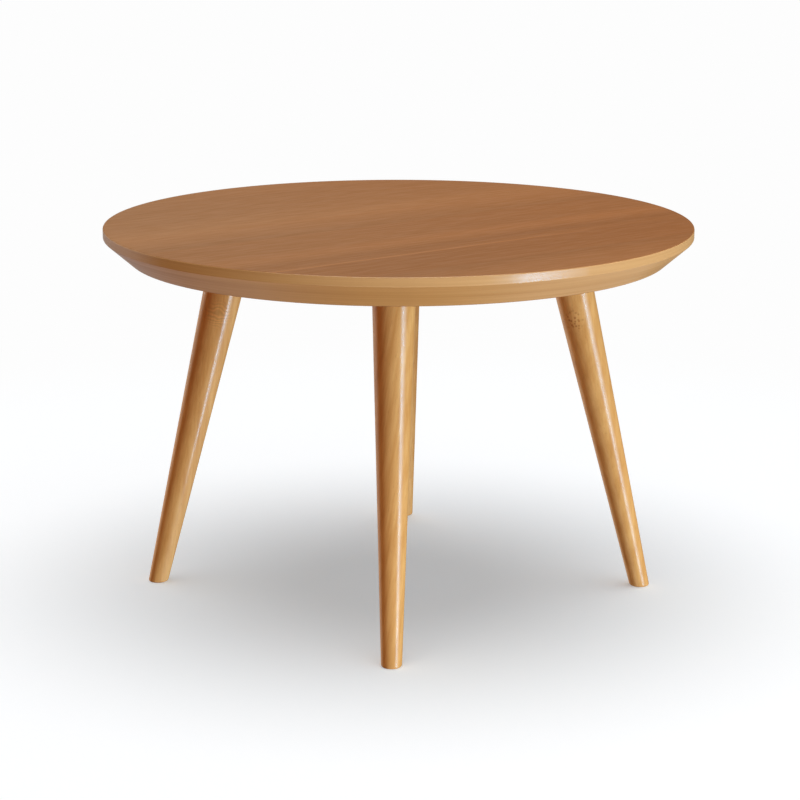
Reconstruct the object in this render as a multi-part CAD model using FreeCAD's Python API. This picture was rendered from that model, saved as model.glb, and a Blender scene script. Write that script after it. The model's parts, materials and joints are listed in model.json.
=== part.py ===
import FreeCAD, Part
import math
import os

# Round cocktail table: a solid wood top, glued up from boards and turned round, on four splayed, tapered legs.
# Each leg is turned from one piece of wood and screws by its hanger bolt into a stamped steel plate under the top,
# whose pressed, hollow wedge has a seat that is tilted square to the leg.
# Millimetres, +Z up. The origin is on the floor under the centre of the top. The legs stand at the corners of a
# square whose sides run along X and Y, and the front of the table is towards -Y.

# Top
TABLE_HEIGHT = 457.2
TOP_DIAMETER = 711.2
TOP_THICKNESS = 38.1
EDGE_BAND = 11.0  # upright part of the edge, above the bevel
BEVEL_INSET = 31.0  # how far the bevel runs in under the top
TOP_EDGE_EASE = 1.2
BOARD_COUNT = 8
GRAIN_ANGLE = -5.9  # degrees, from +X to the length of the boards

# Legs
LEG_INSET = 152.4  # from the rim of the top to the leg's axis, at the underside of the top
LEG_SPLAY = 13.3  # degrees, from upright, straight outwards
LEG_TOP_DIAMETER = 49.8
LEG_FOOT_DIAMETER = 24.0  # where the leg's axis meets the floor
LEG_FOOT_EASE = 1.0
FIRST_LEG_ANGLE = 45.0  # degrees, from +X to the first leg
LEG_NAMES = ("back_right", "back_left", "front_left", "front_right")

# Hanger bolts and the weld nuts that they screw into
BOLT_DIAMETER = 8.0
BOLT_WOOD_LENGTH = 45.0  # in the leg
BOLT_PROUD = 1.0  # past the nut
BOLT_END_CLEARANCE = 1.5  # from the bolt's end to the underside of the top
NUT_ACROSS_FLATS = 13.0
NUT_HEIGHT = 6.5
THREAD_CLEARANCE = 0.05

# Leg plates
PLATE_THICKNESS = 2.0
PLATE_CORNER_RADIUS = 7.0
SEAT_WIDTH = 34.0  # flat, tilted seat that the leg is pulled up to
WEDGE_FLARE = 4.0  # how far the wedge's two sloping walls run out between the seat and the plate
BOLT_HOLE_CLEARANCE = 0.5
SCREW_EDGE_MARGIN = 8.0  # from a screw hole to the plate's edges

# Plate screws
SCREW_DIAMETER = 4.0
SCREW_HEAD_DIAMETER = 8.0
SCREW_HEAD_HEIGHT = 2.4
SCREW_BITE = 20.0  # length in the top
SCREW_SPACE = 4.0  # between a screw head and a corner of the wedge
SCREW_HOLE_CLEARANCE = 0.25
PILOT_CLEARANCE = 0.05

# Room between the high side of a leg's top and the screw heads
LEG_RIM_CLEARANCE = 1.5

UP = FreeCAD.Vector(0, 0, 1)
ORIGIN = FreeCAD.Vector(0, 0, 0)
HEX_SIDES = 6
PLATE_CORNERS = (45.0, 135.0, 225.0, 315.0)  # degrees, from the plate's centre
SAME_HEIGHT = 1e-4

# Sizes that follow from the ones above
top_radius = TOP_DIAMETER / 2
underside = TABLE_HEIGHT - TOP_THICKNESS
splay = math.radians(LEG_SPLAY)
leg_top_radius = LEG_TOP_DIAMETER / 2
leg_foot_radius = LEG_FOOT_DIAMETER / 2
bolt_radius = BOLT_DIAMETER / 2
screw_radius = SCREW_DIAMETER / 2
screw_head_radius = SCREW_HEAD_DIAMETER / 2

# Depth of the seat under the top, along the leg, with room for the bolt's end and for the leg's tilted rim
bolt_above_seat = PLATE_THICKNESS + NUT_HEIGHT + BOLT_PROUD
bolt_room = bolt_above_seat + BOLT_END_CLEARANCE + bolt_radius * math.tan(splay)
rim_drop = PLATE_THICKNESS + SCREW_HEAD_HEIGHT + LEG_RIM_CLEARANCE + leg_top_radius * math.sin(splay)
seat_depth = max(bolt_room, rim_drop / math.cos(splay))

station_radius = top_radius - LEG_INSET
foot_circle_radius = station_radius + underside * math.tan(splay)
leg_length = underside / math.cos(splay) - seat_depth  # along its axis, from the floor to the seat
wedge_reach = math.hypot(SEAT_WIDTH / 2 + WEDGE_FLARE + seat_depth * math.sin(splay), SEAT_WIDTH / 2)
screw_circle_radius = wedge_reach + SCREW_SPACE + screw_head_radius
plate_side = screw_circle_radius * math.sqrt(2) + 2 * SCREW_EDGE_MARGIN
station = FreeCAD.Vector(station_radius, 0, underside)  # where the axis of a leg along +X meets the top


def revolved(points):
    """Solid of revolution about Z of the outline through (radius, height) points, from axis to axis."""
    outline = Part.makePolygon([FreeCAD.Vector(r, 0, z) for r, z in points + points[:1]])
    return Part.Face(outline).revolve(ORIGIN, UP, 360)


def level_edges(solid, height):
    """The solid's edges that lie level at that height."""
    boxes = [(edge, edge.BoundBox) for edge in solid.Edges]
    return [e for e, box in boxes if max(abs(box.ZMin - height), abs(box.ZMax - height)) < SAME_HEIGHT]


def along_leg(shape):
    """A shape made up the Z axis from the floor, turned onto the axis of a leg that points along +X."""
    placed = shape.copy()
    placed.rotate(ORIGIN, FreeCAD.Vector(0, 1, 0), -LEG_SPLAY)
    placed.translate(FreeCAD.Vector(foot_circle_radius, 0, 0))
    return placed


def at_leg(shape, number):
    """A shape made for a leg that points along +X, turned to the leg of that number."""
    placed = shape.copy()
    placed.rotate(ORIGIN, UP, FIRST_LEG_ANGLE + number * 360 / len(LEG_NAMES))
    return placed


def screw_places():
    """The screw centres of one leg plate, on the underside of the top."""
    turns = [math.radians(angle) for angle in PLATE_CORNERS]
    return [station + FreeCAD.Vector(math.cos(a), math.sin(a), 0) * screw_circle_radius for a in turns]


def top_blank():
    """The whole round top: a disc with an upright edge band, and a bevel that runs in under it."""
    band_foot = TABLE_HEIGHT - EDGE_BAND
    blank = revolved(
        [
            (0, underside),
            (top_radius - BEVEL_INSET, underside),
            (top_radius, band_foot),
            (top_radius, TABLE_HEIGHT),
            (0, TABLE_HEIGHT),
        ]
    )
    return blank.makeChamfer(TOP_EDGE_EASE, level_edges(blank, TABLE_HEIGHT))


def top_boards(pilot_holes):
    """The edge-glued boards of the top, from front to back, with the screws' pilot holes in them."""
    blank = top_blank()
    width = TOP_DIAMETER / BOARD_COUNT
    seams = [number * width - top_radius for number in range(1, BOARD_COUNT)]
    sides = [-TOP_DIAMETER] + seams + [TOP_DIAMETER]
    boards = []
    for front, back in zip(sides, sides[1:]):
        corner = FreeCAD.Vector(-TOP_DIAMETER, front, 0)
        strip = Part.makeBox(2 * TOP_DIAMETER, back - front, 2 * TABLE_HEIGHT, corner)
        strip.rotate(ORIGIN, UP, GRAIN_ANGLE)
        boards.append(blank.common(strip).cut(pilot_holes))
    return boards


def leg():
    """One tapered leg: square to its axis at the top, bored for its bolt, and cut level at the foot."""
    taper = (leg_top_radius - leg_foot_radius) / leg_length
    tail = leg_foot_radius  # spare length under the floor, for the level cut
    blank = revolved(
        [
            (0, -tail),
            (leg_foot_radius - taper * tail, -tail),
            (leg_top_radius, leg_length),
            (0, leg_length),
        ]
    )
    bore_foot = FreeCAD.Vector(0, 0, leg_length - BOLT_WOOD_LENGTH)
    bore = Part.makeCylinder(bolt_radius + THREAD_CLEARANCE, BOLT_WOOD_LENGTH, bore_foot)
    piece = along_leg(blank.cut(bore))
    waste = Part.makeCylinder(2 * tail, 2 * tail, FreeCAD.Vector(foot_circle_radius, 0, -2 * tail))
    piece = piece.cut(waste)
    return piece.makeChamfer(LEG_FOOT_EASE, level_edges(piece, 0))


def hanger_bolt():
    """One hanger bolt: its wood screw end in the leg, and its machine thread end through the nut."""
    tip = FreeCAD.Vector(0, 0, leg_length - BOLT_WOOD_LENGTH)
    return along_leg(Part.makeCylinder(bolt_radius, BOLT_WOOD_LENGTH + bolt_above_seat, tip))


def plate_nut():
    """One hexagon nut, welded inside the plate's wedge over the seat's hole."""
    corner = NUT_ACROSS_FLATS / 2 / math.cos(math.pi / HEX_SIDES)
    turns = [2 * math.pi * side / HEX_SIDES for side in range(HEX_SIDES + 1)]
    foot = FreeCAD.Vector(0, 0, leg_length + PLATE_THICKNESS)
    outline = [foot + FreeCAD.Vector(math.cos(a), math.sin(a), 0) * corner for a in turns]
    hexagon = Part.Face(Part.makePolygon(outline)).extrude(UP * NUT_HEIGHT)
    return along_leg(hexagon.cut(Part.makeCylinder(bolt_radius + THREAD_CLEARANCE, NUT_HEIGHT, foot)))


def wedge(inset):
    """The wedge from the tilted seat up to the underside of the top, taken in by inset at its seat and walls."""
    half = SEAT_WIDTH / 2 - inset
    seat = station + FreeCAD.Vector(math.sin(splay), 0, -math.cos(splay)) * (seat_depth - inset)
    along_seat = FreeCAD.Vector(math.cos(splay), 0, math.sin(splay)) * half
    inner = seat - along_seat
    outer = seat + along_seat
    corners = [
        FreeCAD.Vector(inner.x - WEDGE_FLARE, 0, underside),
        inner,
        outer,
        FreeCAD.Vector(outer.x + WEDGE_FLARE, 0, underside),
    ]
    outline = Part.makePolygon(corners + corners[:1])
    outline.translate(FreeCAD.Vector(0, -half, 0))
    return Part.Face(outline).extrude(FreeCAD.Vector(0, 2 * half, 0))


def leg_plate():
    """One stamped plate: a square flange against the top, and a hollow wedge whose seat is square to the leg."""
    corner = FreeCAD.Vector(-plate_side / 2, -plate_side / 2, -PLATE_THICKNESS)
    flange = Part.makeBox(plate_side, plate_side, PLATE_THICKNESS, station + corner)
    upright = [edge for edge in flange.Edges if edge.BoundBox.ZLength > PLATE_THICKNESS / 2]
    flange = flange.makeFillet(PLATE_CORNER_RADIUS, upright)
    plate = flange.fuse(wedge(0)).cut(wedge(PLATE_THICKNESS))
    seat = FreeCAD.Vector(0, 0, leg_length)
    bolt_hole = Part.makeCylinder(bolt_radius + BOLT_HOLE_CLEARANCE, PLATE_THICKNESS, seat)
    plate = plate.cut(along_leg(bolt_hole))
    for place in screw_places():
        hole = Part.makeCylinder(screw_radius + SCREW_HOLE_CLEARANCE, PLATE_THICKNESS, place)
        hole.translate(UP * -PLATE_THICKNESS)
        plate = plate.cut(hole)
    return plate


def plate_screw(place):
    """One pan head wood screw, driven up through the plate into the top."""
    head_seat = place - UP * PLATE_THICKNESS
    head = Part.makeCylinder(screw_head_radius, SCREW_HEAD_HEIGHT, head_seat - UP * SCREW_HEAD_HEIGHT)
    return head.fuse(Part.makeCylinder(screw_radius, PLATE_THICKNESS + SCREW_BITE, head_seat))


def pilot_hole(place):
    """The hole in the top for one screw."""
    return Part.makeCylinder(screw_radius + PILOT_CLEARANCE, SCREW_BITE + PILOT_CLEARANCE, place)


def export(name, shape):
    """Writes one named piece, or a group of like pieces, to its own file."""
    if not shape.isValid():
        raise ValueError(name + " is not a valid shape")
    shape.exportStep(os.path.join("parts", name + ".step"))


def main():
    """Builds every piece in its place and writes it."""
    os.makedirs("parts", exist_ok=True)
    corner_pieces = {
        "leg": leg(),
        "hanger_bolt": hanger_bolt(),
        "plate_nut": plate_nut(),
        "leg_plate": leg_plate(),
        "plate_screws": Part.makeCompound([plate_screw(place) for place in screw_places()]),
    }
    plate_holes = Part.makeCompound([pilot_hole(place) for place in screw_places()])
    all_holes = Part.makeCompound([at_leg(plate_holes, number) for number in range(len(LEG_NAMES))])
    for number, board in enumerate(top_boards(all_holes), start=1):
        export("top_board_%d" % number, board)
    for number, corner in enumerate(LEG_NAMES):
        for name, piece in corner_pieces.items():
            export(name + "_" + corner, at_leg(piece, number))


main()
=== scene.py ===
import json
import logging
import math
from dataclasses import dataclass
from enum import Enum, IntEnum
from typing import Callable

import bmesh
import bpy
from mathutils import Matrix, Quaternion, Vector


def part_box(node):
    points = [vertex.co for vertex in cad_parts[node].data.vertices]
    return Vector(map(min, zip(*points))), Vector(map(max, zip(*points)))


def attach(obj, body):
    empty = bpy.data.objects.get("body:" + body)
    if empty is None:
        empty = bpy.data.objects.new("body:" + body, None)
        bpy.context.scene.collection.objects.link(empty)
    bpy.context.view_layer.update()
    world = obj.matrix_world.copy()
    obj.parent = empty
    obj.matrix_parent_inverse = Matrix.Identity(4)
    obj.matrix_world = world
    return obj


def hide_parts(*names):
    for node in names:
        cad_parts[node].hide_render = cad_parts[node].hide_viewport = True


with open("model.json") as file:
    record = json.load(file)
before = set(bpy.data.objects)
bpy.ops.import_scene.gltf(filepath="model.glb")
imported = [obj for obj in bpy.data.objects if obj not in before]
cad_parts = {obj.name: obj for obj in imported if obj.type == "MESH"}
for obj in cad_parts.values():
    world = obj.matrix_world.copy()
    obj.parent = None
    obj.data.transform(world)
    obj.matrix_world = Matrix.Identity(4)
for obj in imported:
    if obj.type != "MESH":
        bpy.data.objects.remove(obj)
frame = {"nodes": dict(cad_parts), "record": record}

# Round cocktail table: a round top, glued up from eight boards, on four turned, splayed legs
# with steel leg plates.
# Metres, +Z up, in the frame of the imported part: the front of the table is towards -Y.

LOG = logging.getLogger("table")
BODY = "root"
CLOSE = 1e-5  # places that are nearer than this are level with each other
SAME = 1e-6  # points that are nearer than this are one point
FACING = 0.9  # how nearly square a face is to a direction that it faces
LEVEL = 0.99  # how nearly level a flat end is, beside its rounded edge
MIDDLE = 0.5  # what a noise or a wave swings about
SMOOTH_ANGLE = math.radians(35)
UP = Vector((0, 0, 1))

Colour = tuple[float, float, float]
Sizes = tuple[float, float, float]
Stops = tuple[tuple[float, float], ...]
Inputs = dict[str | int, object]
Item = bpy.types.Object
Material = bpy.types.Material
Node = bpy.types.Node
Socket = bpy.types.NodeSocket

WHITE: Colour = (1.0, 1.0, 1.0)

# How a screen codes its colours
SCREEN_STEPS = 255
SCREEN_TOE = 0.04045
SCREEN_SLOPE = 12.92
SCREEN_OFFSET = 0.055
SCREEN_POWER = 2.4


class Corner(Enum):
    """The four legs, by where they stand when the table is seen from its front."""

    BACK_RIGHT = "back_right"
    BACK_LEFT = "back_left"
    FRONT_LEFT = "front_left"
    FRONT_RIGHT = "front_right"


class Figure(Enum):
    """What the wood of a leg shows besides its straight grain."""

    PLAIN = "plain"
    CURL = "curl"
    EYES = "eyes"


class Slot(Enum):
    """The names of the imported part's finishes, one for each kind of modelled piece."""

    TOP_WOOD = "top_wood"
    LEG_WOOD = "leg_wood"
    FASTENER_STEEL = "fastener_steel"


class BoardFace(IntEnum):
    """The faces of a board, in the order of its materials."""

    FLAT = 0
    BAND = 1
    BEVEL = 2


def linear(*levels: int) -> Colour:
    """Turns a colour as a screen shows it into the linear colour that a shader takes.

    Args:
        levels: The screen's red, green and blue, 0 to 255.

    Returns:
        The linear colour, 0 to 1.
    """
    shares = [level / SCREEN_STEPS for level in levels]
    return tuple(
        share / SCREEN_SLOPE
        if share <= SCREEN_TOE
        else ((share + SCREEN_OFFSET) / (1 + SCREEN_OFFSET)) ** SCREEN_POWER
        for share in shares
    )


class NodeSheet:
    """Adds and links the nodes of one material, of a lamp or of the surround."""

    MIX_FIRST = 6  # the inputs of a mixing node that take its colours, and the output that gives one
    MIX_SECOND = 7
    MIX_RESULT = 2
    WAVE = 0.31416  # the spacing of a wave texture at scale 1

    def __init__(self, owner: bpy.types.ID) -> None:
        """Starts from an empty sheet.

        Args:
            owner: The material, lamp or surround that the nodes belong to.
        """
        owner.use_nodes = True
        self.tree = owner.node_tree
        self.tree.nodes.clear()

    def add(self, kind: str, inputs: Inputs | None = None, **settings: object) -> Node:
        """Adds one node.

        Args:
            kind: The node's type, without the ShaderNode that it starts with.
            inputs: For each input's name or number, the socket that it is linked to or a constant.
            settings: The node's properties, by name.

        Returns:
            The new node.
        """
        node = self.tree.nodes.new("ShaderNode" + kind)
        for name, value in settings.items():
            setattr(node, name, value)
        for name, value in (inputs or {}).items():
            target = node.inputs[name]
            if isinstance(value, Socket):
                self.tree.links.new(value, target)
            else:
                target.default_value = (*value, 1.0) if target.type == "RGBA" else value
        return node

    def show(self, shader: Node, output: str = "OutputMaterial") -> None:
        """Makes a shader the sheet's result."""
        self.add(output, {"Surface": shader.outputs[0]})

    def math(self, operation: str, first: object, second: object = 0.0) -> Socket:
        """Combines two numbers, by the name of a sum such as ADD or MULTIPLY."""
        return self.add("Math", {0: first, 1: second}, operation=operation).outputs[0]

    def swing(self, value: Socket, strength: float) -> Socket:
        """How far a noise or a wave is from its middle, times a strength."""
        return self.math("MULTIPLY", self.math("SUBTRACT", value, MIDDLE), strength)

    def spread(
        self, value: Socket, low: float, high: float, to_low: float = 0.0, to_high: float = 1.0
    ) -> Socket:
        """Maps a number smoothly from the range of low to high to another range, and holds it there."""
        inputs = dict(enumerate((value, low, high, to_low, to_high)))
        return self.add("MapRange", inputs, interpolation_type="SMOOTHSTEP").outputs[0]

    def blend(self, share: object, first: object, second: object, how: str = "MIX") -> Socket:
        """Mixes two colours, with that share of the second one."""
        inputs = {0: share, self.MIX_FIRST: first, self.MIX_SECOND: second}
        return self.add("Mix", inputs, data_type="RGBA", blend_type=how).outputs[self.MIX_RESULT]

    def times(self, first: Socket, second: Socket) -> Socket:
        """Multiplies a colour by another colour or by a number."""
        return self.blend(1.0, first, second, "MULTIPLY")

    def ramp(self, value: Socket, stops: Stops) -> Socket:
        """Looks a number up in a list of places and greys, and eases between them.

        Args:
            value: The number's socket.
            stops: Each place and its grey, both 0 to 1, in order.

        Returns:
            The grey's socket.
        """
        node = self.add("ValToRGB", {0: value})
        elements = node.color_ramp.elements
        for place, _ in stops[len(elements):]:
            elements.new(place)
        for element, (place, grey) in zip(elements, stops):
            element.position = place
            element.color = (grey, grey, grey, 1.0)
        return node.outputs[0]

    def mapped(self, kind: str, **inputs: object) -> Socket:
        """Coordinates that a mapping of that kind moves, turns or scales."""
        return self.add("Mapping", inputs, vector_type=kind).outputs[0]

    def local(self, origin: Vector, turn: Quaternion) -> Socket:
        """Object coordinates in metres, as seen from a place on the piece whose own axes are turned."""
        coordinates = self.add("TexCoord").outputs["Object"]
        return self.mapped("TEXTURE", Vector=coordinates, Location=origin, Rotation=turn.to_euler())

    def shifted(self, coordinates: Socket, shift: Vector, tilt: Sizes) -> Socket:
        """Coordinates turned about each axis, in radians, and then moved."""
        return self.mapped("POINT", Vector=coordinates, Location=shift, Rotation=tilt)

    def noise(self, coordinates: Socket, grain: Sizes, detail: float = 2.0) -> Socket:
        """Cloudy noise, whose blotches have a length in metres along each axis."""
        place = self.mapped("POINT", Vector=coordinates, Scale=[1 / length for length in grain])
        return self.add("TexNoise", {"Vector": place, "Scale": 1.0, "Detail": detail}).outputs[0]

    def wave(self, place: Socket, spacing: float, distortion: float, detail: float, **kind: str) -> Socket:
        """Even waves in bands or rings, 0 to 1, with their spacing in metres."""
        inputs = {"Vector": place, "Scale": self.WAVE / spacing, "Distortion": distortion, "Detail": detail}
        return self.add("TexWave", inputs, wave_profile="SIN", **kind).outputs["Fac"]

    def bump(self, height: Socket, strength: float, depth: float) -> Socket:
        """The normals of a fine relief, with its depth in metres."""
        inputs = {"Height": height, "Strength": strength, "Distance": depth}
        return self.add("Bump", inputs).outputs[0]


@dataclass(frozen=True)
class WoodTones:
    """The two colours that the figure of a wood runs between, and the colour of its pores."""

    pale: Colour
    deep: Colour
    pore: Colour


@dataclass(frozen=True)
class WoodFigure:
    """How strongly each part of the figure shows, and its size in metres."""

    ring_spacing: float
    ring_share: float
    fibre_size: Sizes
    fibre_share: float
    drift_size: Sizes
    drift_share: float
    pore_share: float


@dataclass(frozen=True)
class Lacquer:
    """How a wood's surface shines."""

    roughness: float
    specular: float
    coat: float
    coat_roughness: float
    coat_index: float


class WoodGrain:
    """The figure of one piece of wood, whose grain runs along the third axis of its coordinates."""

    RING_DISTORTION = 1.5
    RING_DETAIL = 2.0
    WAVER = 0.022  # how far the rings wander, from one side of their round to the other
    WAVER_SIZE = (0.05, 0.05, 0.35)
    FIBRE_DETAIL = 4.0
    FIBRE_RANGE = (0.3, 0.7)
    PORE_SIZE = (0.0007, 0.0007, 0.009)
    PORE_DETAIL = 1.0
    PORE_RANGE = (0.64, 0.74)
    ROUGHNESS_SWING = 0.06
    BUMP_STRENGTH = 0.12
    BUMP_DEPTH = 0.00025

    def __init__(self, sheet: NodeSheet, coordinates: Socket, figure: WoodFigure) -> None:
        """Lays out the parts of the figure.

        Args:
            sheet: The sheet to draw on.
            coordinates: Coordinates with the grain along the third axis.
            figure: The figure's sizes and strengths.
        """
        self.sheet = sheet
        self.figure = figure
        self.fibre = sheet.noise(coordinates, figure.fibre_size, self.FIBRE_DETAIL)
        self.drift = sheet.noise(coordinates, figure.drift_size)
        pores = sheet.noise(coordinates, self.PORE_SIZE, self.PORE_DETAIL)
        self.pores = sheet.spread(pores, *self.PORE_RANGE)
        self.rings = self.growth_rings(coordinates)

    def growth_rings(self, coordinates: Socket) -> Socket:
        """Yearly rings round the third axis, which wander slowly.

        Args:
            coordinates: Coordinates with the heart of the tree on the third axis.

        Returns:
            The socket of the rings, 0 to 1.
        """
        sheet = self.sheet
        offset = sheet.swing(sheet.noise(coordinates, self.WAVER_SIZE), self.WAVER)
        moved = sheet.add("VectorMath", {0: coordinates, 1: offset}, operation="ADD").outputs[0]
        shape = (self.figure.ring_spacing, self.RING_DISTORTION, self.RING_DETAIL)
        return sheet.wave(moved, *shape, wave_type="RINGS", rings_direction="Z")

    def colour(self, tones: WoodTones) -> Socket:
        """The wood's colour.

        Args:
            tones: The colours that the figure runs between.

        Returns:
            The colour's socket.
        """
        sheet, figure = self.sheet, self.figure
        share: object = MIDDLE
        for part, strength in (
            (self.rings, figure.ring_share),
            (self.fibre, figure.fibre_share),
            (self.drift, figure.drift_share),
        ):
            share = sheet.math("ADD", sheet.swing(part, strength), share)
        wood = sheet.blend(share, tones.pale, tones.deep)
        return sheet.blend(sheet.math("MULTIPLY", self.pores, figure.pore_share), wood, tones.pore)

    def dress(self, colour: Socket, lacquer: Lacquer) -> None:
        """Gives the wood its surface.

        Args:
            colour: The colour's socket.
            lacquer: How the surface shines.
        """
        sheet = self.sheet
        smoothest = lacquer.roughness - self.ROUGHNESS_SWING
        roughest = lacquer.roughness + self.ROUGHNESS_SWING
        height = sheet.math("SUBTRACT", self.fibre, self.pores)
        inputs = {
            "Base Color": colour,
            "Roughness": sheet.spread(self.fibre, *self.FIBRE_RANGE, smoothest, roughest),
            "Specular IOR Level": lacquer.specular,
            "Coat Weight": lacquer.coat,
            "Coat Roughness": lacquer.coat_roughness,
            "Coat IOR": lacquer.coat_index,
            "Normal": sheet.bump(height, self.BUMP_STRENGTH, self.BUMP_DEPTH),
        }
        sheet.show(sheet.add("BsdfPrincipled", inputs))


@dataclass(frozen=True)
class BoardFinish:
    """The flat faces of one board of the top: oiled brown, close to matt, with a painted sheen that pales
    and greys them towards the left end.
    """

    name: str
    red: float
    reach: float
    grain_turn: Quaternion
    heart: Vector

    BASE = linear(168, 118, 76)
    SWING = 0.16  # how far the pale and the deep tone lie from the base
    DEEP_KEEPS = (1.0, 0.97, 0.95)
    PORE_KEEPS = 0.6
    PAINTED_SHEEN_LEFT_TINT = (1.03, 1.10, 1.20)  # painted sheen: the tints at the left and the right end of the boards, greyer at the left and redder at the right
    PAINTED_SHEEN_RIGHT_TINT = (1.04, 0.97, 0.87)
    TILT = (0.0, 0.012, 0.0)
    FIGURE = WoodFigure(
        ring_spacing=0.012, ring_share=0.05, fibre_size=(0.005, 0.005, 0.04), fibre_share=0.65,
        drift_size=(0.03, 0.03, 0.3), drift_share=0.35, pore_share=0.12,
    )
    LACQUER = Lacquer(roughness=0.55, specular=0.06, coat=0.0, coat_roughness=0.3, coat_index=1.5)
    # The broad stripes of the wood: how far behind the middle of the top, and how light it is there
    STRIPES = (
        (-0.356, 1.05), (-0.310, 0.97), (-0.270, 0.88), (-0.185, 0.86), (-0.170, 0.94), (-0.152, 0.86),
        (-0.108, 1.04), (-0.088, 0.97), (0.010, 0.95), (0.034, 1.03), (0.095, 1.13), (0.125, 1.11),
        (0.160, 1.05), (0.270, 1.02), (0.356, 1.09),
    )
    STRIPE_TOP = 1.25
    # The pale glue line: how far behind the middle, half its width, how pale, and where it fades away
    GLUE_LINE = -0.178
    GLUE_HALF = 0.0045
    GLUE_LIGHT = 0.22
    GLUE_FADE = (0.02, 0.22)

    def tones(self) -> WoodTones:
        """The colours of this board, which is redder or browner than the base.

        Returns:
            The colours.
        """
        red, green, blue = self.BASE
        base = (red * (1 + self.red), green, blue * (1 - self.red))
        pale = tuple(part * (1 + self.SWING) for part in base)
        deep = tuple(part * kept * (1 - self.SWING) for part, kept in zip(base, self.DEEP_KEEPS))
        return WoodTones(pale, deep, tuple(part * self.PORE_KEEPS for part in deep))

    def material(self) -> Material:
        """Makes the board's material.

        Returns:
            The material.
        """
        made = bpy.data.materials.new(self.name)
        sheet = NodeSheet(made)
        place = sheet.local(Vector(), self.grain_turn)
        grain = WoodGrain(sheet, sheet.shifted(place, self.heart, self.TILT), self.FIGURE)
        parts = sheet.add("SeparateXYZ", {0: place}).outputs
        # painted sheen along the boards, paler and greyer to the left
        tint = sheet.blend(sheet.spread(parts["Z"], -self.reach, self.reach), self.PAINTED_SHEEN_LEFT_TINT, self.PAINTED_SHEEN_RIGHT_TINT)
        toned = sheet.times(grain.colour(self.tones()), tint)
        grain.dress(sheet.times(toned, self.stripes(sheet, parts["Y"], parts["Z"])), self.LACQUER)
        return made

    def stripes(self, sheet: NodeSheet, across: Socket, along: Socket) -> Socket:
        """The lighter and darker stripes along the boards, and the pale glue line.

        Args:
            sheet: The sheet to draw on.
            across: The distance behind the middle of the top.
            along: The distance along the boards, to the right.

        Returns:
            The socket of the factor on the wood's colour.
        """
        first = self.STRIPES[0][0]
        width = self.STRIPES[-1][0] - first
        share = sheet.math("DIVIDE", sheet.math("SUBTRACT", across, first), width)
        stops = tuple(((place - first) / width, light / self.STRIPE_TOP) for place, light in self.STRIPES)
        broad = sheet.math("MULTIPLY", sheet.ramp(share, stops), self.STRIPE_TOP)
        off_line = sheet.math("ABSOLUTE", sheet.math("SUBTRACT", across, self.GLUE_LINE))
        line = sheet.spread(off_line, 0.0, self.GLUE_HALF, self.GLUE_LIGHT, 0.0)
        kept = sheet.spread(along, *self.GLUE_FADE, 1.0, 0.0)
        return sheet.math("ADD", broad, sheet.math("MULTIPLY", line, kept))


@dataclass(frozen=True)
class RimFinish:
    """The band or the bevel round the top: honey wood, streaked round the rim, under clear lacquer; the
    band's tones also hold a painted sheen.
    """

    name: str
    tones: WoodTones

    FIGURE = WoodFigure(
        ring_spacing=0.02, ring_share=0.0, fibre_size=(0.22, 0.22, 0.0022), fibre_share=0.8,
        drift_size=(0.5, 0.5, 0.012), drift_share=0.7, pore_share=0.0,
    )
    LACQUER = Lacquer(roughness=0.5, specular=0.45, coat=0.3, coat_roughness=0.08, coat_index=4.0)

    def material(self) -> Material:
        """Makes the rim's material.

        Returns:
            The material.
        """
        made = bpy.data.materials.new(self.name)
        sheet = NodeSheet(made)
        grain = WoodGrain(sheet, sheet.local(Vector(), Quaternion()), self.FIGURE)
        grain.dress(grain.colour(self.tones), self.LACQUER)
        return made


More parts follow.
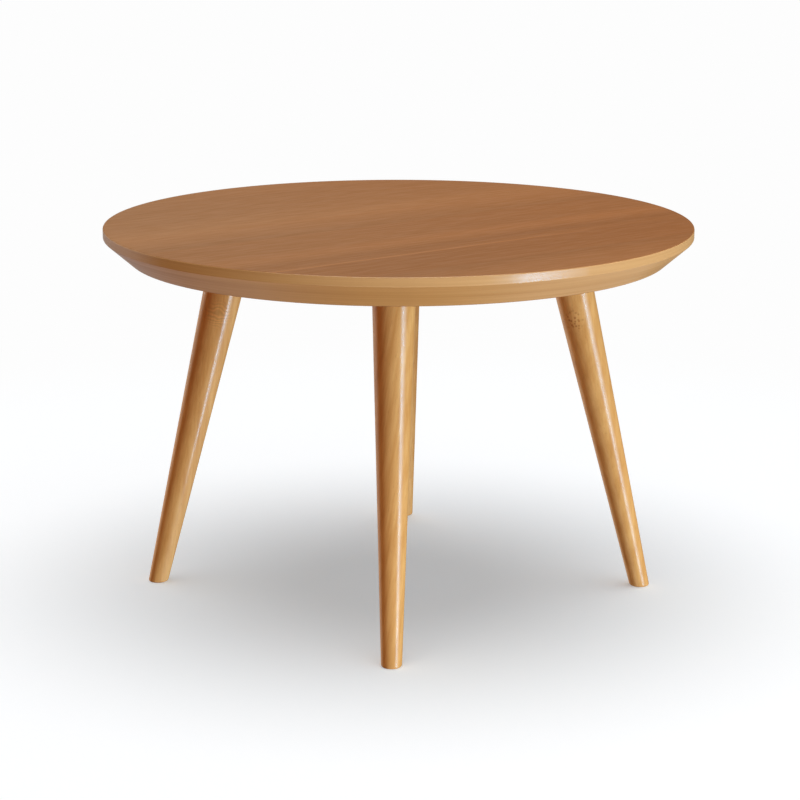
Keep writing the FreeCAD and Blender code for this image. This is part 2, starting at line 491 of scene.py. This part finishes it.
@dataclass(frozen=True)
class LegFinish:
    """One leg's wood: honey, with the grain along the leg, under clear gloss lacquer."""

    name: str
    foot: Vector
    turn: Quaternion
    heart: Vector
    tilt: Sizes
    figure: Figure
    figure_place: Vector

    TONES = WoodTones(pale=linear(233, 162, 88), deep=linear(203, 126, 56), pore=linear(150, 80, 32))
    FIGURE = WoodFigure(
        ring_spacing=0.010, ring_share=0.22, fibre_size=(0.0026, 0.0026, 0.035), fibre_share=1.0,
        drift_size=(0.012, 0.012, 0.11), drift_share=1.0, pore_share=0.25,
    )
    LACQUER = Lacquer(roughness=0.5, specular=0.4, coat=0.3, coat_roughness=0.1, coat_index=4.0)
    REACH = 0.022  # how far the curl or the eyes reach from their place
    CORE = 0.3  # the share of that reach within which they show in full
    CURL_SPACING = 0.0046
    CURL_DISTORTION = 9.0
    CURL_DETAIL = 1.0
    CURL_SWING = 0.26
    EYE_SIZE = 0.004
    EYE_EDGE = (0.14, 0.52)
    EYE_SHARE = 0.7
    EYE_GATHER = 1.8
    EYE_TONE = linear(160, 72, 12)

    def material(self) -> Material:
        """Makes the leg's material.

        Returns:
            The material.
        """
        made = bpy.data.materials.new(self.name)
        sheet = NodeSheet(made)
        place = sheet.local(self.foot, self.turn)
        grain = WoodGrain(sheet, sheet.shifted(place, self.heart, self.tilt), self.FIGURE)
        colour = grain.colour(self.TONES)
        if self.figure is not Figure.PLAIN:
            colour = self.figured(sheet, place, colour)
        grain.dress(colour, self.LACQUER)
        return made

    def figured(self, sheet: NodeSheet, place: Socket, colour: Socket) -> Socket:
        """Adds the leg's own figure round one place.

        Args:
            sheet: The sheet to draw on.
            place: Coordinates on the leg.
            colour: The plain wood's colour.

        Returns:
            The figured wood's colour.
        """
        away = sheet.add("VectorMath", {0: place, 1: self.figure_place}, operation="DISTANCE")
        near = sheet.spread(away.outputs["Value"], self.CORE * self.REACH, self.REACH, 1.0, 0.0)
        if self.figure is Figure.CURL:
            shape = (self.CURL_SPACING, self.CURL_DISTORTION, self.CURL_DETAIL)
            wave = sheet.wave(place, *shape, wave_type="BANDS", bands_direction="Z")
            swing = sheet.math("MULTIPLY", near, sheet.swing(wave, self.CURL_SWING))
            return sheet.times(colour, sheet.math("ADD", swing, 1.0))
        cells = sheet.add("TexVoronoi", {"Vector": place, "Scale": 1 / self.EYE_SIZE}, feature="F1")
        eyes = sheet.spread(cells.outputs["Distance"], *self.EYE_EDGE, self.EYE_SHARE, 0.0)
        gathered = sheet.math("POWER", near, self.EYE_GATHER)
        return sheet.blend(sheet.math("MULTIPLY", gathered, eyes), colour, self.EYE_TONE)


@dataclass(frozen=True)
class SteelFinish:
    """Zinc-plated steel, faintly clouded and brushed."""

    name: str
    tone: Colour
    roughness: float

    DULL_KEEPS = 0.78
    CLOUD_SIZE = (0.012, 0.012, 0.012)
    CLOUD_DETAIL = 3.0
    BRUSH_SIZE = (0.0006, 0.02, 0.0006)
    BRUSH_RANGE = (0.3, 0.7)
    SMOOTHER = 0.08
    ROUGHER = 0.1
    BUMP_STRENGTH = 0.08
    BUMP_DEPTH = 0.0001

    def material(self) -> Material:
        """Makes the steel's material.

        Returns:
            The material.
        """
        made = bpy.data.materials.new(self.name)
        sheet = NodeSheet(made)
        place = sheet.local(Vector(), Quaternion())
        clouds = sheet.noise(place, self.CLOUD_SIZE, self.CLOUD_DETAIL)
        brush = sheet.noise(place, self.BRUSH_SIZE)
        dull = tuple(part * self.DULL_KEEPS for part in self.tone)
        smoothest = self.roughness - self.SMOOTHER
        roughest = self.roughness + self.ROUGHER
        inputs = {
            "Base Color": sheet.blend(clouds, self.tone, dull),
            "Metallic": 1.0,
            "Roughness": sheet.spread(brush, *self.BRUSH_RANGE, smoothest, roughest),
            "Normal": sheet.bump(brush, self.BUMP_STRENGTH, self.BUMP_DEPTH),
        }
        sheet.show(sheet.add("BsdfPrincipled", inputs))
        return made


PLATE_STEEL = SteelFinish("pressed_zinc_steel", tone=(0.60, 0.61, 0.62), roughness=0.38)
FASTENER_STEEL = SteelFinish("bright_zinc_steel", tone=(0.68, 0.66, 0.60), roughness=0.28)


class Bench:
    """One mesh on the bench, shaped in edit mode in the table's own frame."""

    def __init__(self, name: str) -> None:
        """Takes up the object that is active, applies its place and opens its mesh.

        Args:
            name: The object's new name.
        """
        self.item = bpy.context.object
        self.item.name = name
        self.item.data.name = name
        bpy.ops.object.transform_apply(location=True, rotation=True, scale=True)
        bpy.ops.object.mode_set(mode="EDIT")

    @staticmethod
    def take(item: Item) -> None:
        """Makes one object the only one that is selected, and the active one.

        Args:
            item: The object.
        """
        bpy.ops.object.select_all(action="DESELECT")
        item.select_set(True)
        bpy.context.view_layer.objects.active = item

    @classmethod
    def copy_of(cls, source: Item, name: str, place: Matrix = Matrix()) -> "Bench":
        """Puts a copy, with its own mesh, on the bench.

        Args:
            source: The object to copy.
            name: The copy's name.
            place: Where the copy goes.

        Returns:
            The bench with the copy on it.
        """
        item = source.copy()
        item.data = source.data.copy()
        bpy.context.scene.collection.objects.link(item)
        cls.take(item)
        item.matrix_world = place
        return cls(name)

    def pick(self, kind: str, wanted: Callable[..., bool]) -> None:
        """Selects only some faces or edges.

        Args:
            kind: What is selected, FACE or EDGE.
            wanted: Says whether a face or an edge is one of them.
        """
        bpy.ops.mesh.select_mode(type=kind)
        bpy.ops.mesh.select_all(action="DESELECT")
        mesh = bmesh.from_edit_mesh(self.item.data)
        for part in mesh.faces if kind == "FACE" else mesh.edges:
            part.select_set(wanted(part))
        bmesh.update_edit_mesh(self.item.data)

    def pick_faces(self, way: Vector, least: float = FACING) -> None:
        """Selects only the faces that face one way, at least that nearly."""
        self.pick("FACE", lambda face: face.normal.dot(way) > least)

    def pick_level(self, height: float) -> None:
        """Selects only the edges that lie level at that height."""
        self.pick("EDGE", lambda edge: all(abs(end.co.z - height) < CLOSE for end in edge.verts))

    def extrude(self, move: Vector) -> None:
        """Extrudes what is selected by that move."""
        bpy.ops.mesh.extrude_region_move(TRANSFORM_OT_translate={"value": move})

    def inset(self, width: float) -> None:
        """Insets the selected faces."""
        bpy.ops.mesh.inset(thickness=width, use_even_offset=True)

    def resize(self, scale: Sizes, centre: Vector) -> None:
        """Scales what is selected about a centre."""
        bpy.ops.transform.resize(value=scale, center_override=centre)

    def bevel(self, width: float, segments: int) -> None:
        """Rounds the selected edges."""
        bpy.ops.mesh.bevel(offset=width, segments=segments, affect="EDGES")

    def cut(self, point: Vector, normal: Vector, keep_ahead: bool) -> None:
        """Cuts the mesh with a plane, drops one side and closes the cut.

        Args:
            point: A point on the plane.
            normal: The plane's normal.
            keep_ahead: Whether the side that the normal points to is the one that stays.
        """
        bpy.ops.mesh.select_mode(type="FACE")
        bpy.ops.mesh.select_all(action="SELECT")
        bpy.ops.mesh.bisect(
            plane_co=point,
            plane_no=normal,
            use_fill=True,
            clear_inner=keep_ahead,
            clear_outer=not keep_ahead,
        )
        bpy.ops.mesh.mark_sharp()

    def modify(self, kind: str, **settings: object) -> None:
        """Closes the mesh, adds a modifier and applies it.

        Args:
            kind: The modifier's type.
            settings: Its properties, by name.
        """
        bpy.ops.object.mode_set(mode="OBJECT")
        self.take(self.item)
        bpy.ops.object.modifier_add(type=kind)
        modifier = self.item.modifiers[-1]
        for name, value in settings.items():
            setattr(modifier, name, value)
        bpy.ops.object.modifier_apply(modifier=modifier.name)

    def put_down(self) -> Item:
        """Faces the mesh outwards, and closes it.

        Returns:
            The object.
        """
        bpy.ops.object.mode_set(mode="EDIT")
        bpy.ops.mesh.select_all(action="SELECT")
        bpy.ops.mesh.remove_doubles(threshold=SAME)
        bpy.ops.mesh.normals_make_consistent(inside=False)
        bpy.ops.object.mode_set(mode="OBJECT")
        return self.item

    def done(self) -> Item:
        """Closes the finished mesh and shades it.

        Returns:
            The object.
        """
        self.take(self.put_down())
        bpy.ops.object.shade_smooth_by_angle(angle=SMOOTH_ANGLE, keep_sharp_edges=True)
        self.modify("WEIGHTED_NORMAL", keep_sharp=True)
        return self.item


def hand_over(piece: Item, slot: Slot, *nodes: str) -> Item:
    """Ties a finished piece to the part.

    Args:
        piece: The piece.
        slot: The part's finish meant for it; not used.
        nodes: The part's nodes that it stands for.

    Returns:
        The same piece.
    """
    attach(piece, BODY)
    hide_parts(*nodes)
    LOG.info("%s: %d faces", piece.name, len(piece.data.polygons))
    return piece


@dataclass
class TableTop:
    """The round top: eight boards side by side, with an upright band and a bevel under it."""

    radius: float
    top: float
    underside: float
    board_count: int
    band: float = 0.011
    bevel_inset: float = 0.031
    grain_angle: float = math.radians(-5.9)
    rim_round: float = 0.0015
    band_round: float = 0.0008
    under_round: float = 0.0012
    round_segments: int = 4
    segments: int = 512

    BOARD_REDS = (0.04, 0.07, 0.05, 0.03, 0.0, -0.02, -0.02, -0.02)  # from front to back
    # The band's tones are the bevel's made paler and bluer: painted sheen on the upright band
    BAND_TONES_WITH_PAINTED_SHEEN = WoodTones(pale=linear(225, 178, 119), deep=linear(189, 137, 79), pore=linear(150, 88, 36))
    BEVEL_TONES = WoodTones(pale=linear(224, 175, 110), deep=linear(188, 135, 73), pore=linear(150, 88, 36))
    FLAT = 0.8  # how far up or down a face looks that belongs to the top or the underside
    UNDER = -0.4  # how far down a face looks that belongs to the bevel
    # Where the heart of the tree lies, seen from each board
    HEART_BELOW = 0.05
    HEART_STEP = 0.013
    HEART_STEPS = 3
    HEART_BESIDE = 0.07
    HEART_TURN = 2.4
    HEART_ALONG = 0.9

    @classmethod
    def from_frame(cls) -> "TableTop":
        """Reads the top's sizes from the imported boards.

        Returns:
            The top.
        """
        boards = [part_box(name) for name in frame["nodes"] if name.startswith("top_board_")]
        low = [min(box[0][axis] for box in boards) for axis in range(3)]
        high = [max(box[1][axis] for box in boards) for axis in range(3)]
        return cls((high[0] - low[0]) / 2, high[2], low[2], len(boards))

    def across(self) -> Vector:
        """The level direction square to the boards, from front to back."""
        return Vector((-math.sin(self.grain_angle), math.cos(self.grain_angle), 0))

    def seam(self, number: int) -> Vector:
        """The middle of the seam at the back of that board."""
        return self.across() * ((2 * number / self.board_count - 1) * self.radius)

    def blank(self) -> Item:
        """Models the whole round top, before it is parted into its boards.

        Returns:
            The blank.
        """
        middle = (0, 0, self.top - self.band / 2)
        bpy.ops.mesh.primitive_cylinder_add(
            vertices=self.segments, radius=self.radius, depth=self.band, location=middle
        )
        bench = Bench("top_blank")
        bench.pick_faces(-UP)
        bench.extrude(UP * (self.underside - self.top + self.band))
        share = 1 - self.bevel_inset / self.radius
        bench.resize((share, share, 1), UP * self.underside)
        for height, width in (
            (self.top, self.rim_round),
            (self.top - self.band, self.band_round),
            (self.underside, self.under_round),
        ):
            bench.pick_level(height)
            bench.bevel(width, self.round_segments)
        return bench.put_down()

    def build(self) -> list[Item]:
        """Models the boards, from front to back, and dresses them.

        Returns:
            The finished boards.
        """
        blank = self.blank()
        band = RimFinish("band_wood", self.BAND_TONES_WITH_PAINTED_SHEEN).material()
        bevel = RimFinish("bevel_wood", self.BEVEL_TONES).material()
        boards = []
        for number in range(1, self.board_count + 1):
            name = "top_board_%d" % number
            bench = Bench.copy_of(blank, name + "_wood")
            if number > 1:
                bench.cut(self.seam(number - 1), self.across(), keep_ahead=True)
            if number < self.board_count:
                bench.cut(self.seam(number), self.across(), keep_ahead=False)
            board = bench.done()
            self.dress(board, self.finish(number).material(), band, bevel)
            boards.append(hand_over(board, Slot.TOP_WOOD, name))
        bpy.data.objects.remove(blank)
        return boards

    def finish(self, number: int) -> BoardFinish:
        """The finish of a board, with a cut of wood of its own.

        Args:
            number: The board's number, from the front.

        Returns:
            The finish.
        """
        along = Matrix.Rotation(self.grain_angle, 3, "Z") @ Matrix.Rotation(math.pi / 2, 3, "Y")
        below = self.HEART_BELOW + self.HEART_STEP * (number % self.HEART_STEPS)
        beside = self.HEART_BESIDE * math.sin(self.HEART_TURN * number)
        heart = Vector((below, beside, self.HEART_ALONG * number))
        red = self.BOARD_REDS[number - 1]
        return BoardFinish("board_%d_wood" % number, red, self.radius, along.to_quaternion(), heart)

    def dress(self, board: Item, *finishes: Material) -> None:
        """Gives a board its oiled faces and its lacquered rim.

        Args:
            board: The board.
            finishes: The materials of its flat faces, its band, with a painted sheen, and its bevel.
        """
        board.data.materials.clear()
        for finish in finishes:
            board.data.materials.append(finish)
        for face in board.data.polygons:
            rim = BoardFace.BAND if face.normal.z > self.UNDER else BoardFace.BEVEL
            face.material_index = BoardFace.FLAT if abs(face.normal.z) > self.FLAT else rim


@dataclass
class Leg:
    """One leg: a long taper, square at its top, bored for its bolt, and cut level at the foot."""

    corner: Corner
    foot: Vector
    axis: Vector
    length: float
    top_radius: float = 0.0249
    top_round: float = 0.0008
    top_segments: int = 3
    foot_radius: float = 0.012
    foot_round: float = 0.0026
    foot_segments: int = 4
    bore_radius: float = 0.00405
    bore_depth: float = 0.045
    segments: int = 128

    # What a leg's wood shows, how high up the leg, and on which side, as a turn from +X
    PLAIN = (Figure.PLAIN, 0.0, 0.0)
    FIGURES = {
        Corner.BACK_LEFT: (Figure.CURL, 0.3565, math.radians(-130)),
        Corner.FRONT_RIGHT: (Figure.EYES, 0.3525, math.radians(-158)),
    }
    # Where the heart of the tree lies and how the grain leans in the first leg, and the steps to the next
    HEART = Vector((0.035, 0.02, 0.0))
    HEART_STEP = Vector((0.006, -0.012, 1.3))
    TILT = Vector((math.radians(6), math.radians(7), 0.0))
    TILT_STEP = Vector((math.radians(-1), math.radians(1), 0.0))

    @classmethod
    def from_frame(cls, corner: Corner) -> "Leg":
        """Reads one leg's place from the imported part.

        Args:
            corner: The leg's corner.

        Returns:
            The leg.
        """
        mounts = {mount["name"]: mount["pos_m"] for mount in frame["record"]["mounts"]}
        foot = Vector(mounts["foot_" + corner.value])
        low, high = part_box("leg_plate_" + corner.value)
        station = Vector(((low.x + high.x) / 2, (low.y + high.y) / 2, high.z))
        axis = (station - foot).normalized()
        lean = math.sqrt(1 - axis.z**2)
        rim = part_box("leg_" + corner.value)[1].z
        return cls(corner, foot, axis, (rim - cls.top_radius * lean) / axis.z)

    def turn(self) -> Quaternion:
        """How the leg's own axes are turned, with the third one up the leg."""
        return self.axis.to_track_quat("Z", "Y")

    def build(self) -> Item:
        """Models the leg in its place and dresses it.

        Returns:
            The finished leg.
        """
        tail = self.foot_radius
        taper = (self.top_radius - self.foot_radius) / self.length
        bpy.ops.mesh.primitive_cone_add(
            vertices=self.segments,
            radius1=self.foot_radius - taper * tail,
            radius2=self.top_radius,
            depth=self.length + tail,
            location=(0, 0, (self.length - tail) / 2),
        )
        bench = Bench("leg_%s_wood" % self.corner.value)
        bench.pick_level(self.length)
        bench.bevel(self.top_round, self.top_segments)
        bench.pick_faces(UP, LEVEL)
        bench.inset(self.top_radius - self.top_round - self.bore_radius)
        bench.extrude(UP * -self.bore_depth)
        bpy.ops.object.mode_set(mode="OBJECT")
        bench.item.matrix_world = Matrix.Translation(self.foot) @ self.turn().to_matrix().to_4x4()
        bench = Bench(bench.item.name)
        bench.cut(Vector(), UP, keep_ahead=True)
        bench.pick_level(0.0)
        bench.bevel(self.foot_round, self.foot_segments)
        leg = bench.done()
        leg.data.materials.append(self.finish().material())
        leg.visible_glossy = False  # keeps the bevel's shine even above the leg
        return hand_over(leg, Slot.LEG_WOOD, "leg_" + self.corner.value)

    def finish(self) -> LegFinish:
        """The finish of this leg, with a cut of wood of its own.

        Returns:
            The finish.
        """
        number = list(Corner).index(self.corner)
        figure, height, side = self.FIGURES.get(self.corner, self.PLAIN)
        facing = self.turn().inverted() @ Vector((math.cos(side), math.sin(side), 0))
        spot = Vector((facing.x, facing.y, 0)).normalized() * self.top_radius + UP * height
        heart = self.HEART + self.HEART_STEP * number
        tilt = tuple(self.TILT + self.TILT_STEP * number)
        name = "leg_%s_lacquered_wood" % self.corner.value
        return LegFinish(name, self.foot, self.turn(), heart, tilt, figure, spot)


@dataclass
class PlateScrews:
    """The four pan head screws that hold one leg plate up to the top, their heads facing the floor."""

    corner: Corner
    heads: Vector
    circle: float
    length: float
    count: int = 4
    stop_turn: float = 1.0  # how much further than the last one each screw was driven, in radians
    head_radius: float = 0.004
    head_height: float = 0.0024
    head_round: float = 0.0014
    head_segments: int = 4
    shank_radius: float = 0.002
    tip_length: float = 0.005
    tip_share: float = 0.2
    recess_width: float = 0.0009
    recess_reach: float = 0.0021
    recess_depth: float = 0.0014
    recess_taper: float = 0.45
    segments: int = 32

    @classmethod
    def from_frame(cls, corner: Corner) -> "PlateScrews":
        """Reads the place and the length of one plate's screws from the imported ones.

        Args:
            corner: The plate's corner.

        Returns:
            The plate's screws.
        """
        low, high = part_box("plate_screws_" + corner.value)
        heads = Vector(((low.x + high.x) / 2, (low.y + high.y) / 2, low.z))
        return cls(corner, heads, (high.x - low.x) / 2 - cls.head_radius, high.z - low.z)

    @classmethod
    def build_all(cls, finish: Material) -> list[Item]:
        """Models one screw, and copies it to its places in all the plates.

        Args:
            finish: The screws' material.

        Returns:
            The screws of each plate.
        """
        plates = [cls.from_frame(corner) for corner in Corner]
        pattern = plates[0].pattern()
        groups = [plate.build(pattern, finish) for plate in plates]
        bpy.data.objects.remove(pattern)
        return groups

    def recess(self) -> Item:
        """Models the cross that a screwdriver fits, as the solid that is cut out of a head.

        Returns:
            The solid.
        """
        bpy.ops.mesh.primitive_cube_add(size=self.recess_width)
        bench = Bench("screw_recess")
        bpy.ops.mesh.select_all(action="SELECT")
        bench.resize((1, 1, 2 * self.recess_depth / self.recess_width), Vector())
        for turn in range(self.count):
            outward = Vector((1, 0, 0))
            outward.rotate(Quaternion(UP, turn * math.tau / self.count))
            bench.pick_faces(outward)
            bench.extrude(outward * (self.recess_reach - self.recess_width / 2))
        bench.pick_faces(UP)
        bench.resize((self.recess_taper, self.recess_taper, 1), Vector())
        return bench.put_down()

    def pattern(self) -> Item:
        """Models one screw, its head's face at the origin and its point above it.

        Returns:
            The screw.
        """
        recess = self.recess()
        bpy.ops.mesh.primitive_cylinder_add(
            vertices=self.segments,
            radius=self.head_radius,
            depth=self.head_height,
            location=(0, 0, self.head_height / 2),
        )
        bench = Bench("screw_pattern")
        bench.pick_level(0.0)
        bench.bevel(self.head_round, self.head_segments)
        bench.pick_faces(UP)
        bench.inset(self.head_radius - self.shank_radius)
        bench.extrude(UP * (self.length - self.head_height - self.tip_length))
        bench.extrude(UP * self.tip_length)
        bench.resize((self.tip_share, self.tip_share, 1), UP * self.length)
        bench.modify("BOOLEAN", object=recess, operation="DIFFERENCE")
        bpy.data.objects.remove(recess)
        return bench.put_down()

    def build(self, pattern: Item, finish: Material) -> Item:
        """Copies the screw to its places in the plate, and joins the copies as one piece.

        Args:
            pattern: The screw.
            finish: The screws' material.

        Returns:
            The plate's screws.
        """
        screws = []
        for number in range(self.count):
            turn = number * math.tau / self.count
            place = self.heads + Vector((math.cos(turn), math.sin(turn), 0)) * self.circle
            matrix = Matrix.Translation(place) @ Matrix.Rotation(turn + number * self.stop_turn, 4, "Z")
            screws.append(Bench.copy_of(pattern, "screw_%d" % number, matrix).done())
        Bench.take(screws[0])
        for screw in screws:
            screw.select_set(True)
        bpy.ops.object.join()
        piece = bpy.context.object
        piece.name = "plate_screws_%s_steel" % self.corner.value
        piece.data.name = piece.name
        piece.data.materials.append(finish)
        return hand_over(piece, Slot.FASTENER_STEEL, "plate_screws_" + self.corner.value)


@dataclass(frozen=True)
class SoftBox:
    """A tall soft box that stands beside the table, and lights the table and not the floor."""

    name: str
    right: float
    near: float
    power: float
    tint: Colour
    in_reflections: bool = False
    width: float = 2.16
    height: float = 3.4
    level: float = -0.6

    # A box in reflections: how far along its width, and how bright it is there
    FADE = ((0.0, 0.0), (0.2, 0.2), (0.38, 1.0), (0.5, 0.95), (0.8, 0.3), (1.0, 0.12))

    def build(self, place: Vector, lit: list[Item], shading: list[Item]) -> None:
        """Stands the box up, facing the table.

        Args:
            place: Where it stands on the floor's plan.
            lit: The pieces that it lights.
            shading: The pieces that cast shadows in its light.
        """
        bpy.ops.object.light_add(type="AREA", location=place + UP * self.level)
        lamp = bpy.context.object
        lamp.name = self.name
        lamp.rotation_euler = place.to_track_quat("Z", "Y").to_euler()
        lamp.data.shape = "RECTANGLE"
        lamp.data.size = self.width
        lamp.data.size_y = self.height
        lamp.data.energy = self.power
        lamp.data.color = self.tint
        if self.in_reflections:
            self.fade(lamp)
        lamp.visible_camera = False
        lamp.visible_diffuse = not self.in_reflections
        lamp.visible_glossy = self.in_reflections
        for role, pieces in (("receiver_collection", lit), ("blocker_collection", shading)):
            group = bpy.data.collections.new("%s_%s" % (self.name, role))
            for piece in pieces:
                group.objects.link(piece)
            setattr(lamp.light_linking, role, group)

    def fade(self, lamp: Item) -> None:
        """Makes the box brightest near the middle of its width, and dim at both ends.

        Args:
            lamp: The box's lamp.
        """
        sheet = NodeSheet(lamp.data)
        place = sheet.add("NewGeometry").outputs["Parametric"]
        along = sheet.add("SeparateXYZ", {0: place}).outputs["X"]
        glow = sheet.add("Emission", {"Strength": sheet.ramp(along, self.FADE)})
        sheet.show(glow, "OutputLight")


@dataclass
class Studio:
    """The plain white floor and surround, the lamps, and the camera."""

    pieces: list[Item]
    legs: list[Item]
    white: float = 0.983
    fill: float = 0.34
    fill_left: Colour = (1.0, 0.78, 0.56)
    fill_right: Colour = (1.0, 0.94, 0.86)
    lean_right: float = 0.6
    lean_near: float = 0.5
    tint_spread: float = 0.7
    mirrored: float = 0.02
    mirrored_behind: float = 0.55
    floor_size: float = 60.0
    floor_albedo: Colour = (0.80, 0.855, 0.918)
    floor_bounce: Colour = (0.47, 0.25, 0.09)
    floor_glow: float = 0.28
    floor_cool: Colour = (0.81, 0.995, 1.115)
    fade_start: float = 0.75
    fade_end: float = 1.5
    sun_strength: float = 1.76
    sun_angle: float = math.radians(60)
    key: SoftBox = SoftBox("key", right=3.02, near=2.62, power=172.0, tint=(0.85, 1.08, 1.34))
    leg_key: SoftBox = SoftBox(
        "leg_key", right=3.02, near=2.62, power=172.0, tint=(0.81, 1.42, 2.2), width=1.1
    )
    strip: SoftBox = SoftBox(
        "strip", right=3.165, near=2.446, power=74.0, tint=(0.56, 1.02, 1.45), width=2.96,
        in_reflections=True,
    )
    edge: SoftBox = SoftBox("edge", right=-2.2, near=-1.85, power=76.0, tint=(0.95, 1.35, 1.8), width=0.8)
    camera_distance: float = 2.7988
    camera_height: float = 0.9204
    camera_azimuth: float = math.radians(-43.57)
    camera_pitch: float = math.radians(13.74)
    camera_yaw: float = -0.0007
    camera_roll: float = 0.00118
    lens: float = 105.2

    # The floor in reflections: how far down, how light it is there, and where it fades to the left
    FLOOR_MIRRORED = ((0.35, 0.0), (0.5, 0.36), (0.82, 0.36), (0.95, 0.0))
    FLOOR_ASIDE = (-0.7, -0.3)
    # The lighter wall in reflections: how far behind the table and to its left, and where it fades in
    WALL_BEHIND = 0.87
    WALL_LEFT = 0.5
    WALL_FADE = (0.6, 0.95)

    def nearer(self) -> Vector:
        """The level direction from the table to the camera."""
        return Vector((math.sin(self.camera_azimuth), -math.cos(self.camera_azimuth), 0))

    def rightward(self) -> Vector:
        """The level direction to the camera's right."""
        return Vector((math.cos(self.camera_azimuth), math.sin(self.camera_azimuth), 0))

    def build(self) -> None:
        """Sets up the floor, the surround, the lamps and the camera."""
        self.floor()
        self.surround()
        self.overhead()
        others = [piece for piece in self.pieces if piece not in self.legs]
        for box, lit, shading in (
            (self.key, others, self.pieces),
            (self.leg_key, self.legs, self.pieces),
            (self.strip, self.pieces, self.pieces),
            (self.edge, self.legs, self.legs),
        ):
            box.build(self.rightward() * box.right + self.nearer() * box.near, lit, shading)
        self.camera()
        bpy.context.scene.view_settings.view_transform = "Standard"

    @staticmethod
    def seen(sheet: NodeSheet) -> Socket:
        """1 for what the camera sees, and 0 for light that falls on things."""
        return sheet.add("LightPath").outputs["Is Camera Ray"]

    @staticmethod
    def facing(sheet: NodeSheet, way: Vector) -> Socket:
        """How far each direction of the surround points that way."""
        place = sheet.add("TexCoord").outputs["Generated"]
        return sheet.add("VectorMath", {0: place, 1: way}, operation="DOT_PRODUCT").outputs["Value"]

    def floor(self) -> None:
        """Lays the white floor, which keeps the table's shadow and fades into the surround."""
        bpy.ops.mesh.primitive_plane_add(size=self.floor_size)
        floor = bpy.context.object
        floor.name = "floor"
        made = bpy.data.materials.new("floor_white")
        sheet = NodeSheet(made)
        seen = self.seen(sheet)
        place = sheet.add("TexCoord").outputs["Object"]
        away = sheet.add("VectorMath", {0: place}, operation="LENGTH").outputs["Value"]
        near = sheet.spread(away, 0.0, self.fade_start, 1.0, 0.0)
        beyond = sheet.spread(away, self.fade_start, self.fade_end)
        colour = sheet.blend(seen, self.floor_bounce, self.floor_albedo)
        matt = sheet.add("BsdfDiffuse", {"Color": colour})
        cool = sheet.blend(near, WHITE, self.floor_cool)
        strength = sheet.math("MULTIPLY", seen, self.floor_glow)
        glow = sheet.add("Emission", {"Color": cool, "Strength": strength})
        lit = sheet.add("AddShader", {0: matt.outputs[0], 1: glow.outputs[0]})
        far = sheet.add("Emission", {"Strength": self.white})
        share = sheet.math("MULTIPLY", beyond, seen)
        sheet.show(sheet.add("MixShader", {0: share, 1: lit.outputs[0], 2: far.outputs[0]}))
        floor.data.materials.append(made)
        floor.visible_glossy = False

    def surround(self) -> None:
        """Lights the table from all round, most from the right, shows white, and grey in reflections."""
        world = bpy.data.worlds.new("surround")
        bpy.context.scene.world = world
        sheet = NodeSheet(world)
        nearer, rightward = self.nearer(), self.rightward()
        side = sheet.spread(self.facing(sheet, rightward), -self.tint_spread, self.tint_spread)
        tint = sheet.blend(side, self.fill_left, self.fill_right)
        lean = self.facing(sheet, rightward * self.lean_right + nearer * self.lean_near)
        strength = sheet.math("MULTIPLY", sheet.math("ADD", lean, 1.0), self.fill)
        behind = self.facing(sheet, -nearer * self.WALL_BEHIND - rightward * self.WALL_LEFT)
        wall = sheet.spread(behind, *self.WALL_FADE, self.mirrored, self.mirrored_behind)
        below = sheet.ramp(self.facing(sheet, -UP), self.FLOOR_MIRRORED)
        aside = sheet.spread(self.facing(sheet, rightward), *self.FLOOR_ASIDE)
        grey = sheet.math("MAXIMUM", wall, sheet.math("MULTIPLY", below, aside))
        glossy = sheet.add("LightPath").outputs["Is Glossy Ray"]
        light = sheet.blend(glossy, sheet.times(tint, strength), grey)
        shown = sheet.blend(self.seen(sheet), light, (self.white,) * 3)
        sheet.show(sheet.add("Background", {"Color": shown}), "OutputWorld")

    def overhead(self) -> None:
        """Hangs a broad, soft lamp overhead."""
        bpy.ops.object.light_add(type="SUN")
        lamp = bpy.context.object
        lamp.name = "overhead"
        lamp.data.energy = self.sun_strength
        lamp.data.angle = self.sun_angle

    def camera(self) -> None:
        """Sets the camera at the picture's place, looking slightly down."""
        data = bpy.data.cameras.new("camera")
        data.lens = self.lens
        camera = bpy.data.objects.new("camera", data)
        bpy.context.scene.collection.objects.link(camera)
        camera.location = self.nearer() * self.camera_distance + UP * self.camera_height
        ahead = -UP * math.tan(self.camera_pitch) - self.nearer()
        ahead.rotate(Quaternion(UP, self.camera_yaw))
        level = ahead.to_track_quat("-Z", "Y")
        camera.rotation_euler = (level @ Quaternion(UP, self.camera_roll)).to_euler()
        bpy.context.scene.camera = camera


def main() -> None:
    """Builds the table's sub-assemblies in order, and the studio round them."""
    logging.basicConfig(level=logging.INFO, format="%(name)s %(message)s")
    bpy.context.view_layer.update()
    boards = TableTop.from_frame().build()
    legs = [Leg.from_frame(corner).build() for corner in Corner]
    plate_steel = PLATE_STEEL.material()
    fastener_steel = FASTENER_STEEL.material()
    steelwork = PlateScrews.build_all(fastener_steel)
    for name, node in frame["nodes"].items():
        if not node.hide_render:
            finish = plate_steel if name.startswith("leg_plate_") else fastener_steel
            node.data.materials.clear()
            node.data.materials.append(finish)
            steelwork.append(node)
            LOG.info("%s: packed shape kept", name)
    Studio(boards + legs + steelwork, legs).build()


if __name__ == "__main__":
    main()
